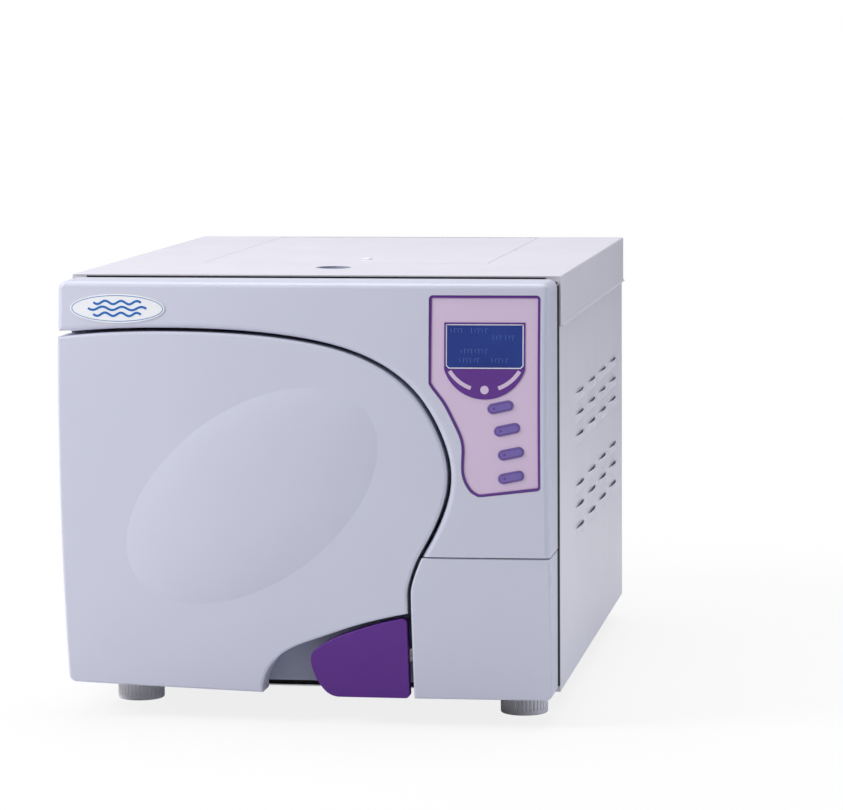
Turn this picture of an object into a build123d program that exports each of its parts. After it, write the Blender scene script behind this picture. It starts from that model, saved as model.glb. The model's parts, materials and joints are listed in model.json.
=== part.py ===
from build123d import *
import math
import os

# A benchtop steam autoclave with a side-hinged round door. Millimetres, +Z up, +Y towards the back.
# Shapes are drawn from the middle of the casing's bottom front edge and moved to the part's origin
# (bench level, middle of the overall box) when they are written.

# Casing
WIDTH = 445.0
DEPTH = 560.0
HEIGHT = 374.0
FOOT_HEIGHT = 25.0
SHEET = 1.2
FIT_GAP = 0.1
LID_SKIRT = 45.0
FRONT_REACH = 84.45
REAR_REACH = 16.0
ORIGIN_SHIFT = (0.0, (FRONT_REACH - REAR_REACH - DEPTH) / 2, FOOT_HEIGHT)

# Bowed plastic front
FASCIA_HALF_WIDTH = 220.5
FASCIA_BOTTOM = 1.0
FASCIA_TOP = 372.0
FASCIA_LEFT_RISE = 7.0
FASCIA_CORNER = 7.0
FASCIA_REAR = -12.0
FASCIA_WALL = 3.5
BOW_DEPTH = 80.0
BOW_CENTRE_X = 60.0
BOW_CENTRE_Z = 240.0
BOW_RADIUS_ACROSS = 3500.0
BOW_RADIUS_UPRIGHT = 1100.0
GAP = 3.2

# Door
HINGE_X = -196.0
HINGE_Y = -40.0
HINGE_HEIGHTS = (70.0, 290.0)
HINGE_PIN_RADIUS = 4.0
RUNNING_GAP = 0.05
DOOR_REAR = -24.0
DOME_CENTRE = (-44.0, 184.0)
DOME_TILT = 28.0
DOME_RISE = 6.0

LOCK_PIN_RADIUS = 4.0
LOCK_Y = -34.0
LOCK_Z = 119.0

# Pressure chamber
CHAMBER_X = -45.0
CHAMBER_Z = 180.0
CHAMBER_RADIUS = 123.5
CHAMBER_WALL = 2.0
CHAMBER_LENGTH = 450.0
FLANGE_RADIUS = 145.0
FLANGE_DEPTH = 14.0

# Handle and service flap
HANDLE_EDGE = 92.6
HANDLE_PIVOT_X = 87.0
HANDLE_PIN_RADIUS = 2.5
FLAP_TOP = 130.5
FLAP_PIVOT_X = 107.0

# Control panel, as (x, z) on the front
KEY_PLACES = {
    "start_key": (178.2, 264.8),
    "up_key": (183.9, 245.1),
    "down_key": (187.2, 224.1),
    "stop_key": (187.2, 203.2),
}
KEY_TILT = 12.0
KEY_LENGTH = 22.7
KEY_HEIGHT = 8.7
LCD_X = (130.1, 198.5)
LCD_Z = (298.2, 337.2)
# Room behind the bezel's lower edge for the door's upper corner when the door stands open.
DOOR_SWING_RELIEF = ((-223.0, -208.5), (-64.0, -36.0), (320.0, 328.3))
BADGE_CENTRE = (-165.0, 348.6)
BADGE_HALF_SIZE = (43.5, 12.9)

# Sheet metal
FRAME_HALF = 219.0
SCREW_RADIUS = 2.0
REAR_SCREW_HEIGHTS = (35.0, 180.0, 320.0)
REAR_SCREW_X = 214.0
LOUVRE_LENGTH = 72.0
LOUVRE_RISE = 3.6
LOUVRE_ROWS = (256.0, 236.0, 216.0, 169.5, 149.5, 129.5)
LOUVRE_COLUMNS = (160.0, 262.0, 360.0, 458.0)
HATCH_HALF_WIDTH = 135.0
HATCH_FRONT = 157.0
HATCH_REAR = 545.0
HATCH_PIVOT = (546.5, HEIGHT - 3.6)
FINGER_HOLE = (0.0, 96.0)

# Feet, as (x, y): the first two screw up and down
FEET = [(-179.0, 62.0), (184.5, 32.0), (-179.0, 500.0), (184.5, 500.0)]
FOOT_RADIUS = 21.5
FOOT_STEM = 4.0

# Back, as (x, z) on it
REAR_Y = (DEPTH - 2.5, DEPTH - 1.3)
INLET = (-150.0, 60.0)
FUSES = [(-105.0, 70.0), (-105.0, 48.0)]
FAN_PLACE = (165.0, 250.0)
DRAIN_FITTING = (120.0, 60.0)

# Trays, with heights from the middle of the chamber
TRAY_HEIGHTS = (-52.0, -5.0, 42.0)
TRAY_WIDTH = 176.0
RACK_Y = (22.0, 420.0)

# Service bay behind the flap; a port is (x, z, radius)
BAY_FRONT = -26.0
PRINTER_X = (122.0, 182.0)
PRINTER_Z = (60.0, 100.0)
SWITCH = (198.0, 84.0)
SERVICE_PORTS = [(134.0, 38.0, 9.0), (164.0, 38.0, 9.0), (193.0, 44.0, 11.0)]


def outline(curve):
    """Closed curve drawn as (x, z), as a face on the plane of the casing's front."""
    return Plane.XZ * make_face(curve)


def prism(face, front, rear):
    """Front-view outline carried from y = front to y = rear."""
    return extrude(Pos(0, rear, 0) * face, amount=rear - front, dir=(0, -1, 0))


def block(x, y, z):
    """Box between two limits on each axis."""
    size = [b - a for a, b in (x, y, z)]
    middle = [(a + b) / 2 for a, b in (x, y, z)]
    return Pos(*middle) * Box(*size)


def rod_x(radius, x, y, z):
    return Pos((x[0] + x[1]) / 2, y, z) * Rot(0, 90, 0) * Cylinder(radius, x[1] - x[0])


def rod_y(radius, x, y, z):
    return Pos(x, (y[0] + y[1]) / 2, z) * Rot(90, 0, 0) * Cylinder(radius, y[1] - y[0])


def rod_z(radius, x, y, z):
    return Pos(x, y, (z[0] + z[1]) / 2) * Cylinder(radius, z[1] - z[0])


def ring_y(outer, inner, x, y, z):
    return rod_y(outer, x, y, z) - rod_y(inner, x, (y[0] - 1, y[1] + 1), z)


def soften(shape, edges, *radii):
    """Fillets with the largest of the radii that the shape takes."""
    for radius in radii:
        try:
            rounded = fillet(edges, radius)
        except Exception:
            continue
        if rounded.is_valid and len(rounded.solids()) == len(shape.solids()):
            return rounded
    return shape


def bow_y(x, z):
    """Depth of the bowed front at a place on it."""
    across = (x - BOW_CENTRE_X) ** 2 / (2 * BOW_RADIUS_ACROSS)
    upright = (z - BOW_CENTRE_Z) ** 2 / (2 * BOW_RADIUS_UPRIGHT)
    return across + upright - BOW_DEPTH


def bow(inset):
    """Everything behind the bowed front surface, set back by inset: part of a torus."""
    axis_y = BOW_RADIUS_ACROSS - BOW_DEPTH
    arc_centre = BOW_RADIUS_ACROSS - BOW_RADIUS_UPRIGHT
    radius = BOW_RADIUS_UPRIGHT - inset
    low, high = -60.0, 440.0
    inner = BOW_RADIUS_ACROSS - 160.0
    ends = [arc_centre + math.sqrt(radius**2 - (z - BOW_CENTRE_Z) ** 2) for z in (low, high)]
    middle = (arc_centre + radius, BOW_CENTRE_Z)
    arc = ThreePointArc((ends[0], low), middle, (ends[1], high))
    sides = Polyline((ends[1], high), (inner, high), (inner, low), (ends[0], low))
    plane = Plane((BOW_CENTRE_X, axis_y, 0), x_dir=(0, -1, 0), z_dir=(-1, 0, 0))
    half_turn = 6.0
    section = plane * make_face(arc + sides)
    start = section.rotate(Axis((BOW_CENTRE_X, axis_y, 0), (0, 0, 1)), -half_turn)
    return revolve(start, Axis((BOW_CENTRE_X, axis_y, 0), (0, 0, 1)), 2 * half_turn)


BOW = {inset: bow(inset) for inset in (0.0, 0.3, 0.8, 1.0, 1.5, FASCIA_WALL, 4.5, 6.0, 12.0)}


def skin(face, front_inset, back_inset):
    """Plate of that outline that follows the bowed front between two insets."""
    body = prism(face, -120, FASCIA_REAR) & BOW[front_inset]
    plate = body - BOW[back_inset]
    return plate if plate.is_valid else plate.fix()


def rectangle(x, z):
    """Front-view rectangle between two limits on each axis."""
    return Plane.XZ * (Pos(sum(x) / 2, sum(z) / 2) * Rectangle(x[1] - x[0], z[1] - z[0]))


def fascia_outline(inset=0.0):
    """Front view of the whole plastic front; its lower edge rises a little to the left."""
    side, low, high = FASCIA_HALF_WIDTH - inset, FASCIA_BOTTOM + inset, FASCIA_TOP - inset
    left_low = low + FASCIA_LEFT_RISE
    shape = Polyline((-side, left_low), (60, low), (side, low), (side, high), (-side, high), close=True)
    face = make_face(shape)
    corners = [v for v in face.vertices() if abs(v.X) > 100]
    return Plane.XZ * fillet(corners, FASCIA_CORNER - inset)


def beside(curve, distance):
    """Curve that runs at a distance to the left of another one."""
    steps = 24
    points = []
    for i in range(steps + 1):
        place, ahead = curve.position_at(i / steps), curve.tangent_at(i / steps)
        points.append((place.X - distance * ahead.Y, place.Y + distance * ahead.X))
    return Spline(*points, tangents=[curve.tangent_at(0), curve.tangent_at(1)])


def door_region(grow):
    """The side of the door line that belongs to the door, grown or shrunk."""
    line = beside(Spline(
        (-235, 322), (-200, 326.5), (-158, 329.3), (-105, 330), (0, 322.5), (61, 305.5), (98.5, 280),
        (122.5, 244), (132.5, 207), (122.5, 162.5), (104, 127), (95, 82),
        tangents=[(1, 0.16), (0, -1)],
    ), grow)
    start, end = line @ 0, line @ 1
    rest = Polyline(end, (end.X, -40), (-270, -40), (-270, start.Y), start)
    return outline(line + rest)


def handle_recess(grow):
    """Corner cut out of the door for the handle: the door's lower edge sweeps down to the left."""
    sweep = beside(Spline((93.5, 79.5), (49, 68.5), (10.6, 55), (-23.6, 38.5), (-35, 25), (-40.5, 9)), -grow)
    start, end = sweep @ 0, sweep @ 1
    rest = Polyline(end, (end.X - 1.5, -40), (130, -40), (130, start.Y), start)
    return outline(sweep + rest)


def cover_outline(inset):
    """Front view of the door's outer shell."""
    return (fascia_outline(inset) & door_region(-GAP / 2 - inset)) - handle_recess(inset)


FULL_DOOR = fascia_outline() & door_region(-GAP / 2)


# ---------------------------------------------------------------- plastic front


def front_edges(shape, rear):
    """Edges that run round the front of a bowed shell."""
    return [e for e in shape.edges() if e.bounding_box().max.Y < rear]


def make_door_cover():
    """Outer plastic shell of the door, with the raised oval."""
    shell = prism(cover_outline(0.0), -120, DOOR_REAR) & BOW[0.0]
    shell = soften(shell, front_edges(shell, -40), 2.5, 2.0, 1.5, 1.0)
    shell -= prism(cover_outline(FASCIA_WALL), -120, DOOR_REAR) & BOW[FASCIA_WALL]
    x, z = DOME_CENTRE
    slope_x = (x - BOW_CENTRE_X) / BOW_RADIUS_ACROSS
    slope_z = (z - BOW_CENTRE_Z) / BOW_RADIUS_UPRIGHT
    long_axis, short_axis, bulge = 166.0, 105.0, 26.0
    sunk = bulge - DOME_RISE
    tilt = math.radians(DOME_TILT)
    plane = Plane(
        (x, bow_y(x, z) + sunk, z),
        x_dir=(math.cos(tilt), 0, math.sin(tilt)),
        z_dir=(slope_x, -1, slope_z),
    )
    dome = plane * scale(Sphere(1), by=(long_axis, short_axis, bulge))
    dome = dome & (prism(Plane.XZ * (Pos(x, z) * Rectangle(300, 240)), -120, DOOR_REAR) - BOW[1.0])
    shell += dome
    for height in HINGE_HEIGHTS:
        shell -= block((-226, -208), (HINGE_Y - 5, DOOR_REAR + 1), (height - 15, height + 15))
    shell -= rod_x(LOCK_PIN_RADIUS + 0.8, (85, 101), LOCK_Y, LOCK_Z)
    return shell


def make_door_liner():
    """Inner plastic panel of the door; its lower right part shows behind the handle."""
    face = FULL_DOOR & (Plane.XZ * (Pos(0, 200) * Rectangle(2 * 168.0, 380)))
    panel = prism(face, DOOR_REAR + FIT_GAP, -20)
    panel -= rod_y(16, CHAMBER_X, (-30, -10), CHAMBER_Z)
    return panel


def make_door_beam():
    """Steel strap and crossbar that carry the round pressure lid from the hinge."""
    strap = block((-165, -118), (-19.8, -13), (56, 304))
    bar = block((-165, 78), (-19.8, -13), (CHAMBER_Z - 34, CHAMBER_Z + 34))
    beam = soften(strap + bar, (strap + bar).edges().filter_by(Axis.Y), 6, 4)
    for height in HINGE_HEIGHTS:
        half = 3.9
        arm = block((HINGE_X, -150), (-19.8, -13), (height - half, height + half))
        link = block((HINGE_X - 8, HINGE_X + 8), (HINGE_Y, -13), (height - half, height + half))
        eye = rod_z(9, HINGE_X, HINGE_Y, (height - half, height + half))
        hole = rod_z(HINGE_PIN_RADIUS + RUNNING_GAP, HINGE_X, HINGE_Y, (height - 9, height + 9))
        beam = beam + arm + link + eye - hole
    return beam - rod_y(10.1, CHAMBER_X, (-30, -10), CHAMBER_Z)


def make_pressure_lid():
    """Round stainless lid that closes the chamber, with a turned rim and a seal groove."""
    disc = rod_y(135, CHAMBER_X, (-12.9, -4.5), CHAMBER_Z)
    disc = soften(disc, disc.edges().group_by(Axis.Y)[0], 3, 2)
    groove = ring_y(131.5, 125.5, CHAMBER_X, (-7.0, -4), CHAMBER_Z)
    dish = rod_y(100, CHAMBER_X, (-6.5, -4), CHAMBER_Z)
    return disc - groove - dish


def make_door_gasket():
    """Silicone ring seated in the lid's groove, with a lip towards the chamber flange."""
    seat = ring_y(131.3, 125.7, CHAMBER_X, (-6.9, -2.6), CHAMBER_Z)
    lip = ring_y(129.5, 127.0, CHAMBER_X, (-2.6, -0.2), CHAMBER_Z)
    return seat + lip


def make_lid_adjuster():
    """Threaded spindle and knurled nut that set how hard the lid presses on its seal."""
    spindle = rod_y(10, CHAMBER_X, (-34, -13), CHAMBER_Z)
    plate = rod_y(15.5, CHAMBER_X, (-23.6, -19.9), CHAMBER_Z)
    nut = Pos(CHAMBER_X, -30, CHAMBER_Z) * Rot(90, 0, 0) * extrude(RegularPolygon(15, 6), 4, both=True)
    return spindle + plate + nut


def lean_plane(x, low, high, behind):
    """Plane whose Z runs along the chord of the bowed front between two heights."""
    bottom = Vector(x, bow_y(x, low) + behind, low)
    top = Vector(x, bow_y(x, high) + behind, high)
    return Plane(bottom, x_dir=(1, 0, 0), z_dir=top - bottom)


HANDLE_PLANE = lean_plane(HANDLE_PIVOT_X, 8, 70, 7.5)


def handle_outline():
    top = Spline((7, 43), (22, 53.5), (47, 63.5), (73, 71.5), (HANDLE_EDGE, 75.5))
    side = Polyline((HANDLE_EDGE, 75.5), (HANDLE_EDGE, 1), (28, 1))
    tip = Spline((28, 1), (13, 11), (5.3, 29), (7, 43), tangents=[(-1, 0.1), (0.7, 0.9)])
    return outline(top + side + tip)


def make_handle():
    """Violet pull handle: a thick tab that follows the bow of the door."""
    tab = prism(handle_outline(), -120, FASCIA_REAR) & BOW[0.3]
    tab -= BOW[12.0]
    upright = [e for e in tab.edges() if e.length < 25 and abs(e.center().X - HANDLE_EDGE) < 1]
    tab = soften(tab, upright, 4, 3)
    tab = soften(tab, front_edges(tab, -48), 3.0, 2.5, 2.0, 1.0)
    bore = HANDLE_PLANE * Pos(0, 0, 30) * Cylinder(HANDLE_PIN_RADIUS + RUNNING_GAP, 120)
    return tab - bore


def make_handle_pin():
    """Steel pin the handle turns on, held in two plates under the door cover."""
    return HANDLE_PLANE * Pos(0, 0, 31) * Cylinder(HANDLE_PIN_RADIUS, 60)


def make_latch_hook():
    """Steel tongue on the back of the handle that draws the door shut against its keeper."""
    z = 38.0
    y = bow_y(HANDLE_PIVOT_X, z)
    arm = block((HANDLE_PIVOT_X - 5, HANDLE_PIVOT_X + 5), (y + 14, y + 26), (z - 6, z + 6))
    nose = block((HANDLE_PIVOT_X - 5, HANDLE_PIVOT_X + 7), (y + 20, y + 26), (z - 6, z + 6))
    return arm + nose


def flap_outline():
    right = FASCIA_HALF_WIDTH
    return (fascia_outline() & rectangle((60, right + 5), (-20, FLAP_TOP))) - door_region(GAP / 2)


FLAP_PLANE = lean_plane(FLAP_PIVOT_X, 10, 120, 6.5)


def make_service_flap():
    """Cover of the service bay: bowed plate with a side wall, finger notch and hinge barrels."""
    face = flap_outline()
    body = prism(face, -120, FASCIA_REAR - 2) & BOW[0.0]
    body = soften(body, front_edges(body, -40), 2.0, 1.5, 1.0)
    inside = rectangle((20, FASCIA_HALF_WIDTH - 3), (-70, 190))
    body -= prism(inside, -120, FASCIA_REAR) & BOW[FASCIA_WALL]
    body -= Pos(FASCIA_HALF_WIDTH + 6.8, -66, 112) * Sphere(9)
    for low, high in ((8, 20), (108, 120)):
        barrel = FLAP_PLANE * Pos(0, 0, (low + high) / 2 - 10) * Cylinder(3.6, high - low)
        body += barrel
    bore = FLAP_PLANE * Pos(0, 0, 55) * Cylinder(1.5 + RUNNING_GAP, 160)
    return body - bore


def panel_outline(grow):
    """Control panel: wide at the display, narrow beside the keys, with a soft lower corner."""
    left = beside(Spline(
        (115.3, 285), (126.3, 270), (136.3, 251.5), (143.8, 232),
        (144.3, 204), (149.3, 192.7), (161.3, 185.7),
        tangents=[(0.5, -0.9), (1, 0)],
    ), -grow)
    start, end = left @ 0, left @ 1
    right, top = 212.9 + grow, 362 + grow
    rest = Polyline(end, (right, 191.7 - grow), (right, top), (115.3 - grow, top), start)
    face = make_face(left + rest)
    corners = [v for v in face.vertices() if v.Y > 350 or v.X > 200]
    return Plane.XZ * fillet(corners, 3.5 + grow)


def bezel_outline(inset):
    """Fixed part of the front: everything above the flap that the door leaves free."""
    below = rectangle((60, 260), (-20, FLAP_TOP + 1 + inset))
    return fascia_outline(inset) - door_region(GAP / 2 + inset) - below


def make_front_bezel():
    """Fixed plastic front: the strip above the door and the column with the control panel."""
    body = prism(bezel_outline(0.0), -120, FASCIA_REAR) & BOW[0.0]
    outer = [e for e in front_edges(body, -60) if e.center().Z > FLAP_TOP + 5]
    body = soften(body, outer, 5.0, 4.0, 3.0, 2.0, 1.5)
    body -= prism(bezel_outline(FASCIA_WALL), -120, FASCIA_REAR) & BOW[FASCIA_WALL]
    body -= prism(panel_outline(0.15), -120, FASCIA_REAR)
    body -= block(*DOOR_SWING_RELIEF)
    for x in (-200, -70, 60, 200):
        body += block((x - 7, x + 7), (-16, FASCIA_REAR), (FASCIA_TOP - 20, FASCIA_TOP - 2))
    return body if body.is_valid else body.fix()


def key_outline(x, z, grow):
    slot = SlotOverall(KEY_LENGTH + 2 * grow, KEY_HEIGHT + 2 * grow)
    return Plane.XZ * (Pos(x, z) * Rot(0, 0, KEY_TILT) * slot)


def make_control_panel():
    """Lilac panel plate, with openings for the display and the keys."""
    face = panel_outline(-2.3) - rectangle(LCD_X, LCD_Z)
    for x, z in KEY_PLACES.values():
        face -= key_outline(x, z, 0.3)
    return skin(face, 1.5, 4.5)


def make_panel_trim():
    """Dark border round the control panel."""
    band = panel_outline(0) - panel_outline(-2.2)
    return skin(band, 0.8, 4.5)


def make_display_surround():
    """Violet surround of the display, rounded below like a shield."""
    left, right, shoulder, top_edge = 128.8, 199.8, 297.4, 338.5
    top = Polyline((left, shoulder), (left, top_edge), (right, top_edge), (right, shoulder))
    bowl = ThreePointArc((right, shoulder), ((left + right) / 2, 271.5), (left, shoulder))
    face = outline(top + bowl) - rectangle(LCD_X, LCD_Z)
    return skin(face, 1.0, 1.5)


def make_lcd_module():
    """Liquid crystal display with its carrier, behind the opening of the panel."""
    x, z = [(low + FIT_GAP, high - FIT_GAP) for low, high in (LCD_X, LCD_Z)]
    glass = block(x, (-100, -65), z) & BOW[1.5]
    return glass + block((128.3, 200.3), (-67.4, -64.5), (292, 344))


def make_key(name):
    x, z = KEY_PLACES[name]
    cap = skin(key_outline(x, z, 0), 0.3, 6.0)
    return soften(cap, front_edges(cap, bow_y(x, z) + 3.0), 0.8, 0.5, 0.3)


def make_badge():
    """Plain oval badge at the upper left of the front."""
    face = Plane.XZ * (Pos(*BADGE_CENTRE) * Ellipse(*BADGE_HALF_SIZE))
    body = prism(face, -120, FASCIA_REAR)
    return (body & bow(-0.8)) - BOW[0.0]


# ---------------------------------------------------------------- sheet metal casing


def louvre(side):
    """One pressed scoop, open along its upper edge, on the outside of a side panel."""
    face_x = WIDTH / 2 - SHEET - FIT_GAP
    upright, along = 14.0, (LOUVRE_LENGTH**2 / 4 + LOUVRE_RISE**2) / (2 * LOUVRE_RISE)
    shells = []
    for inset in (0.0, 1.0):
        across = rod_y(upright - inset, face_x + LOUVRE_RISE - upright, (-60, 60), 0)
        bulge = rod_z(along - inset, face_x + LOUVRE_RISE - along, 0, (-30, 30))
        shells.append(across & bulge & block((face_x - 0.6, face_x + 9), (-60, 60), (-30, 0)))
    scoop = shells[0] - shells[1]
    return scoop if side > 0 else mirror(scoop, Plane.YZ)


def make_side_panel(side):
    """Painted steel side with a front return flange and two banks of louvres."""
    outer = WIDTH / 2 - SHEET - FIT_GAP
    inner = outer - SHEET
    edge = outer - 12
    panel = block((inner, outer), (0.1, DEPTH - 2.6), (0, HEIGHT - SHEET - FIT_GAP))
    panel += block((edge, outer), (0.1, 0.1 + SHEET), (0, HEIGHT - SHEET - FIT_GAP))
    panel += block((edge, outer), (DEPTH - 2.6 - SHEET, DEPTH - 2.6), (28, HEIGHT - 24))
    for z in REAR_SCREW_HEIGHTS:
        panel -= rod_y(SCREW_RADIUS - 0.3, REAR_SCREW_X, (DEPTH - 6, DEPTH), z)
    slot_height = 2.4
    slots = []
    for z in LOUVRE_ROWS:
        for y in LOUVRE_COLUMNS:
            slots.append(block((inner - 1, outer + 1), (y - 28, y + 28), (z - 1 - slot_height, z - 1)))
    panel -= slots
    if side < 0:
        panel = mirror(panel, Plane.YZ)
    scoop = louvre(side)
    return panel + [Pos(0, y, z) * scoop for z in LOUVRE_ROWS for y in LOUVRE_COLUMNS]


def make_top_cover():
    """Painted steel lid of the casing with deep side skirts and the opening over the water tank."""
    half = WIDTH / 2
    under = HEIGHT - SHEET
    skirt = HEIGHT - LID_SKIRT
    cover = block((-half, half), (0, DEPTH), (under, HEIGHT))
    cover += block((half - SHEET, half), (0, DEPTH), (skirt, HEIGHT))
    cover += block((-half, SHEET - half), (0, DEPTH), (skirt, HEIGHT))
    cover += block((-half, half), (DEPTH - SHEET, DEPTH), (HEIGHT - 22, HEIGHT))
    bends = [e for e in cover.edges().filter_by(Axis.Y) if e.center().Z > HEIGHT - 0.1 and e.length > 500]
    cover = soften(cover, bends, 1.1, 0.8)
    opening = block((-HATCH_HALF_WIDTH - 0.6, HATCH_HALF_WIDTH + 0.6), (HATCH_FRONT - 0.6, HATCH_REAR + 6),
                    (under - 5, HEIGHT + 1))
    opening = soften(opening, opening.edges().filter_by(Axis.Z), 6)
    cover -= opening
    cover -= rod_z(15, *FINGER_HOLE, (under - 1, HEIGHT + 1))
    for x in (-1, 1):
        lug_x = x * (HATCH_HALF_WIDTH - 15)
        lug = block((lug_x - 2, lug_x + 2), (HATCH_REAR + 2, DEPTH - 2.7), (HEIGHT - 9, under))
        lug += block((lug_x - 2, lug_x + 2), (HATCH_PIVOT[0] - 3, HATCH_REAR + 3),
                     (HATCH_PIVOT[1] - 3, HATCH_PIVOT[1] + 2))
        cover += lug - rod_x(1.5 + RUNNING_GAP, (lug_x - 5, lug_x + 5), *HATCH_PIVOT)
    return cover


def make_finger_cup():
    """Dark dished cup set into the lid in front of the tank hatch."""
    x, y = FINGER_HOLE
    cup = rod_z(14.8, x, y, (HEIGHT - 9, HEIGHT + 0.3)) - rod_z(13.8, x, y, (HEIGHT - 7.6, HEIGHT + 1))
    rim = rod_z(16, x, y, (HEIGHT + 0.02, HEIGHT + 0.4)) - rod_z(13.8, x, y, (HEIGHT - 1, HEIGHT + 2))
    return cup + rim


def make_tank_hatch():
    """Lift-up lid over the fresh water tank, hinged at its back edge."""
    plate = block((-HATCH_HALF_WIDTH, HATCH_HALF_WIDTH), (HATCH_FRONT, HATCH_REAR), (HEIGHT - SHEET, HEIGHT))
    plate = soften(plate, plate.edges().filter_by(Axis.Z), 5)
    rib_low = HEIGHT - SHEET - 5
    inset = 6.0
    rim = block((-HATCH_HALF_WIDTH + inset, HATCH_HALF_WIDTH - inset),
                (HATCH_FRONT + inset, HATCH_REAR - 12), (rib_low, HEIGHT - SHEET))
    rim -= block((-HATCH_HALF_WIDTH + inset + 2, HATCH_HALF_WIDTH - inset - 2),
                 (HATCH_FRONT + inset + 2, HATCH_REAR - 14), (rib_low - 1, HEIGHT - SHEET))
    hatch = plate + rim
    y, z = HATCH_PIVOT
    for x in (-1, 1):
        for offset_x in (-6, 6):
            lug_x = x * (HATCH_HALF_WIDTH - 15) + offset_x
            hatch += block((lug_x - 2, lug_x + 2), (HATCH_REAR - 10, HATCH_REAR), (z - 2, HEIGHT - SHEET))
            hatch += block((lug_x - 2, lug_x + 2), (HATCH_REAR - 2, y), (z - 2, z + 2)) + rod_x(
                2, (lug_x - 2, lug_x + 2), y, z)
        middle = x * (HATCH_HALF_WIDTH - 15)
        hatch += rod_x(1.5, (middle - 8, middle + 8), y, z)
    return hatch


def make_base_pan():
    """Galvanised steel tray that everything stands on."""
    half = WIDTH / 2 - 2 * SHEET - 2 * FIT_GAP
    pan = block((-half, half), (1.5, DEPTH - 2.8), (0, SHEET))
    for side in (-1, 1):
        x = sorted((side * half, side * (half - SHEET)))
        pan += block(x, (1.5, DEPTH - 2.8), (0, 26))
    for x, y in FEET:
        pan -= rod_z(FOOT_STEM + 0.4, x, y, (-1, SHEET + 1))
    for row in range(7):
        for column in range(6):
            vent = Pos(-45 + 24 * (column - 2.5), 200 + 30 * row, 0)
            pan -= vent * extrude(SlotOverall(16, 4), 3, both=True)
    return pan


def make_levelling_foot(x, y):
    """Screw-in foot: ribbed round pad on a threaded stem."""
    pad = rod_z(FOOT_RADIUS, x, y, (-FOOT_HEIGHT, -8))
    pad = soften(pad, pad.edges().filter_by(GeomType.CIRCLE), 1.5)
    ribs = 36
    for i in range(ribs):
        angle = 2 * math.pi * i / ribs
        pad -= rod_z(0.9, x + FOOT_RADIUS * math.cos(angle), y + FOOT_RADIUS * math.sin(angle), (-21, -10))
    return pad + rod_z(FOOT_STEM, x, y, (-9, 22))


def make_rear_feet():
    """Two fixed rubber feet under the back."""
    feet = []
    for x, y in FEET[2:]:
        pad = rod_z(FOOT_RADIUS, x, y, (-FOOT_HEIGHT, -0.1))
        pad -= rod_z(6, x, y, (-FOOT_HEIGHT - 1, -FOOT_HEIGHT + 4))
        feet.append(soften(pad, pad.edges().filter_by(GeomType.CIRCLE), 1.0))
    return Compound(feet)


def make_rear_panel():
    """Painted steel back with the fan grille, mains inlet and fuse openings."""
    half = WIDTH / 2 - SHEET - 2 * FIT_GAP
    panel = block((-half, half), REAR_Y, (0.1, HEIGHT - SHEET - FIT_GAP))
    for side in (-1, 1):
        for z in REAR_SCREW_HEIGHTS:
            panel -= rod_y(SCREW_RADIUS + 0.2, side * REAR_SCREW_X, (DEPTH - 10, DEPTH + 5), z)
    x, z = INLET
    panel -= block((x - 13.8, x + 13.8), (DEPTH - 10, DEPTH + 5), (z - 10, z + 10))
    for x, z in FUSES:
        panel -= rod_y(6.6, x, (DEPTH - 10, DEPTH + 5), z)
    x, z = DRAIN_FITTING
    panel -= rod_y(7.2, x, (DEPTH - 10, DEPTH + 5), z)
    x, z = FAN_PLACE
    for radius in (10, 17, 24, 31, 38):
        slot_ring = ring_y(radius, radius - 3.5, x, (DEPTH - 10, DEPTH + 5), z)
        for angle in (45, 135):
            web = Pos(x, DEPTH - 2, z) * Rot(0, angle, 0) * Box(100, 30, 4)
            slot_ring -= web
        panel -= slot_ring
    for row in range(5):
        for column in range(8):
            vent = Plane.XZ * (Pos(-150 + 26 * column, 320 - 14 * row) * SlotOverall(18, 5))
            panel -= prism(vent, DEPTH - 10, DEPTH + 5)
    return panel


def make_casing_screws():
    """Pan-head screws that hold the back to the sides."""
    face = REAR_Y[1]
    screws = []
    for side in (-1, 1):
        for z in REAR_SCREW_HEIGHTS:
            x = side * REAR_SCREW_X
            head = rod_y(4.0, x, (face, face + 2.2), z)
            head = soften(head, head.edges().group_by(Axis.Y)[-1], 1.2, 0.8)
            head -= block((x - 3, x + 3), (face + 1.4, face + 3), (z - 0.5, z + 0.5))
            head -= block((x - 0.5, x + 0.5), (face + 1.4, face + 3), (z - 3, z + 3))
            screws.append(head + rod_y(SCREW_RADIUS - 0.4, x, (face - 6, face), z))
    return Compound(screws)


def make_front_frame():
    """Black steel frame between casing and plastic front, with the hole for the chamber."""
    plate = block((-FRAME_HALF, FRAME_HALF), (-2, 0), (5, 369))
    walls = block((-FRAME_HALF, FRAME_HALF), (-10, -2), (5, 369)) - block(
        (-FRAME_HALF + 2, FRAME_HALF - 2), (-11, 0), (7, 367))
    frame = plate + walls
    frame -= rod_y(FLANGE_RADIUS + 1, CHAMBER_X, (-12, 2), CHAMBER_Z)
    frame -= block((110, 212), (-12, 2), (14, 122))
    frame -= block((125, 200), (-12, 2), (200, 330))
    return frame


# ---------------------------------------------------------------- hinge and latch


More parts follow.
